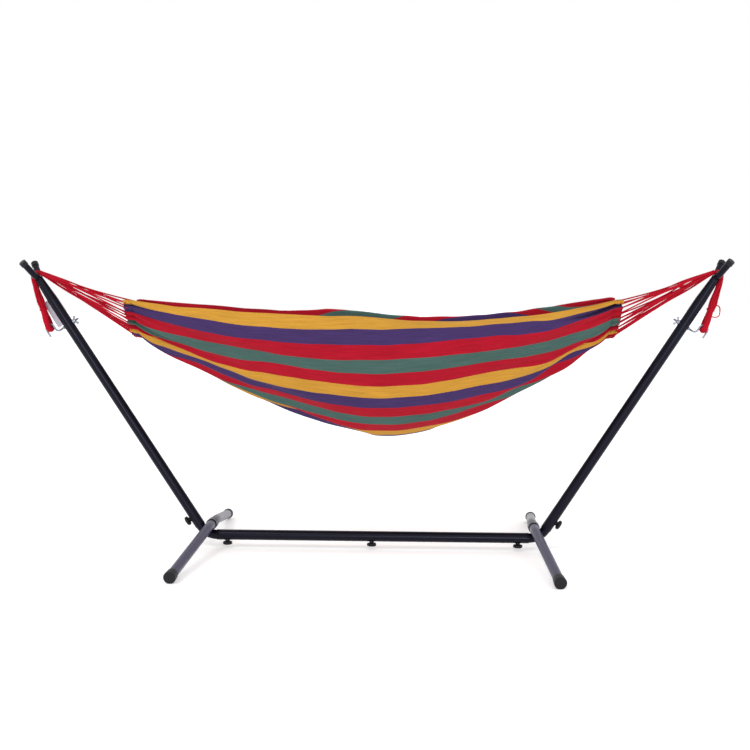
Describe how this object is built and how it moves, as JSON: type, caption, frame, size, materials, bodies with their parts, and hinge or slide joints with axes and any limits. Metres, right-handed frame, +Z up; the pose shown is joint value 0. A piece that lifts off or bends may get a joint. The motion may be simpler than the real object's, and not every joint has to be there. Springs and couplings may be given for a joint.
{
  "type": "hammock on stand",
  "caption": "Striped cloth hammock slung by gathered cords from the forked ends of a tubular steel stand with a low beam and arched feet.",
  "frame": {"origin": "on the floor, midway between the four feet", "axes": "+X along the stand to the right, +Y across it to the rear, +Z up"},
  "size_m": [2.8018, 1.1108, 1.1673],
  "materials": {
    "black_paint": "satin",
    "black_plastic": "matte",
    "zinc_steel": "satin",
    "striped_cloth": "woven, matte",
    "hem_cloth": "woven, matte",
    "tag_cloth": "smooth, matte",
    "red_cord": "twisted cord, matte"
  },
  "bodies": {
    "stand": {"arm_tube_left": "black_paint", "arm_tube_right": "black_paint", "beam_sleeve": "black_paint", "beam_tube_left": "black_paint", "beam_tube_right": "black_paint", "blank_tag": "tag_cloth", "elbow_left": "black_paint", "elbow_right": "black_paint", "foot_cap_left_front": "black_plastic", "foot_cap_left_rear": "black_plastic", "foot_cap_right_front": "black_plastic", "foot_cap_right_rear": "black_plastic", "foot_collar_left": "black_paint", "foot_collar_right": "black_paint", "foot_left": "black_paint", "foot_right": "black_paint", "fork_cap_left_front": "black_plastic", "fork_cap_left_rear": "black_plastic", "fork_cap_right_front": "black_plastic", "fork_cap_right_rear": "black_plastic", "fork_left": "black_paint", "fork_right": "black_paint", "hook_left": "zinc_steel", "hook_lock_nuts": "zinc_steel", "hook_right": "zinc_steel", "rope_eye_left": "red_cord", "rope_eye_right": "red_cord", "tail_rope_left": "red_cord", "tail_rope_right": "red_cord", "tie_loop": "red_cord", "weld_nuts": "zinc_steel", "whipping_left": "red_cord", "whipping_right": "red_cord"},
    "hammock": {"cord_gather_left": "red_cord", "cord_gather_right": "red_cord", "hammock_bed": "striped_cloth", "hem_left": "hem_cloth", "hem_right": "hem_cloth", "suspension_cords_left": "red_cord", "suspension_cords_right": "red_cord"},
    "knob_stud_arm_left": {"knob_stud_arm_left": "zinc_steel"},
    "knob_head_arm_left": {"knob_head_arm_left": "black_plastic"},
    "knob_stud_arm_right": {"knob_stud_arm_right": "zinc_steel"},
    "knob_head_arm_right": {"knob_head_arm_right": "black_plastic"},
    "knob_stud_beam_left": {"knob_stud_beam_left": "zinc_steel"},
    "knob_head_beam_left": {"knob_head_beam_left": "black_plastic"},
    "knob_stud_beam_middle": {"knob_stud_beam_middle": "zinc_steel"},
    "knob_head_beam_middle": {"knob_head_beam_middle": "black_plastic"},
    "knob_stud_beam_right": {"knob_stud_beam_right": "zinc_steel"},
    "knob_head_beam_right": {"knob_head_beam_right": "black_plastic"},
    "hook_washer_left": {"hook_washer_left": "zinc_steel"},
    "wing_nut_left": {"wing_nut_left": "zinc_steel"},
    "hook_washer_right": {"hook_washer_right": "zinc_steel"},
    "wing_nut_right": {"wing_nut_right": "zinc_steel"}
  },
  "joints": [
    {"name": "hammock_swing", "type": "hinge", "parent": "stand", "child": "hammock", "pos_m": [0, 0, 1.11587], "axis": [1, 0, 0], "range_deg": [-25, 25]},
    {"name": "knob_travel_arm_left", "type": "slide", "parent": "stand", "child": "knob_stud_arm_left", "axis": [-0.8406, 0, -0.5417], "range_m": [0, 0.00375]},
    {"name": "knob_turn_arm_left", "type": "hinge", "parent": "knob_stud_arm_left", "child": "knob_head_arm_left", "pos_m": [-0.74078, 0, 0.11375], "axis": [-0.8406, 0, -0.5417], "range_deg": [0, 1081]},
    {"name": "knob_travel_arm_right", "type": "slide", "parent": "stand", "child": "knob_stud_arm_right", "axis": [0.8406, 0, -0.5417], "range_m": [0, 0.00375]},
    {"name": "knob_turn_arm_right", "type": "hinge", "parent": "knob_stud_arm_right", "child": "knob_head_arm_right", "pos_m": [0.74078, 0, 0.11375], "axis": [0.8406, 0, -0.5417], "range_deg": [0, 1081]},
    {"name": "knob_travel_beam_left", "type": "slide", "parent": "stand", "child": "knob_stud_beam_left", "axis": [0, 0, -1], "range_m": [0, 0.00375]},
    {"name": "knob_turn_beam_left", "type": "hinge", "parent": "knob_stud_beam_left", "child": "knob_head_beam_left", "pos_m": [-0.589, 0, 0.031], "axis": [0, 0, -1], "range_deg": [0, 1081]},
    {"name": "knob_travel_beam_middle", "type": "slide", "parent": "stand", "child": "knob_stud_beam_middle", "axis": [0, 0, -1], "range_m": [0, 0.00375]},
    {"name": "knob_turn_beam_middle", "type": "hinge", "parent": "knob_stud_beam_middle", "child": "knob_head_beam_middle", "pos_m": [0, 0, 0.031], "axis": [0, 0, -1], "range_deg": [0, 1081]},
    {"name": "knob_travel_beam_right", "type": "slide", "parent": "stand", "child": "knob_stud_beam_right", "axis": [0, 0, -1], "range_m": [0, 0.00375]},
    {"name": "knob_turn_beam_right", "type": "hinge", "parent": "knob_stud_beam_right", "child": "knob_head_beam_right", "pos_m": [0.589, 0, 0.031], "axis": [0, 0, -1], "range_deg": [0, 1081]},
    {"name": "wing_nut_travel_left", "type": "slide", "parent": "stand", "child": "hook_washer_left", "axis": [0.8406, 0, 0.5417], "range_m": [0, 0.00375]},
    {"name": "wing_nut_turn_left", "type": "hinge", "parent": "hook_washer_left", "child": "wing_nut_left", "pos_m": [-1.20644, 0, 0.92124], "axis": [0.8406, 0, 0.5417], "range_deg": [0, 1081]},
    {"name": "wing_nut_travel_right", "type": "slide", "parent": "stand", "child": "hook_washer_right", "axis": [-0.8406, 0, 0.5417], "range_m": [0, 0.00375]},
    {"name": "wing_nut_turn_right", "type": "hinge", "parent": "hook_washer_right", "child": "wing_nut_right", "pos_m": [1.20644, 0, 0.92124], "axis": [-0.8406, 0, 0.5417], "range_deg": [0, 1081]}
  ],
  "couplings": [
    {"joint": "knob_turn_arm_left", "follows": "knob_travel_arm_left", "rad_per_m": 5026.5},
    {"joint": "knob_turn_arm_right", "follows": "knob_travel_arm_right", "rad_per_m": 5026.5},
    {"joint": "knob_turn_beam_left", "follows": "knob_travel_beam_left", "rad_per_m": 5026.5},
    {"joint": "knob_turn_beam_middle", "follows": "knob_travel_beam_middle", "rad_per_m": 5026.5},
    {"joint": "knob_turn_beam_right", "follows": "knob_travel_beam_right", "rad_per_m": 5026.5},
    {"joint": "wing_nut_turn_left", "follows": "wing_nut_travel_left", "rad_per_m": 5026.5},
    {"joint": "wing_nut_turn_right", "follows": "wing_nut_travel_right", "rad_per_m": 5026.5}
  ]
}
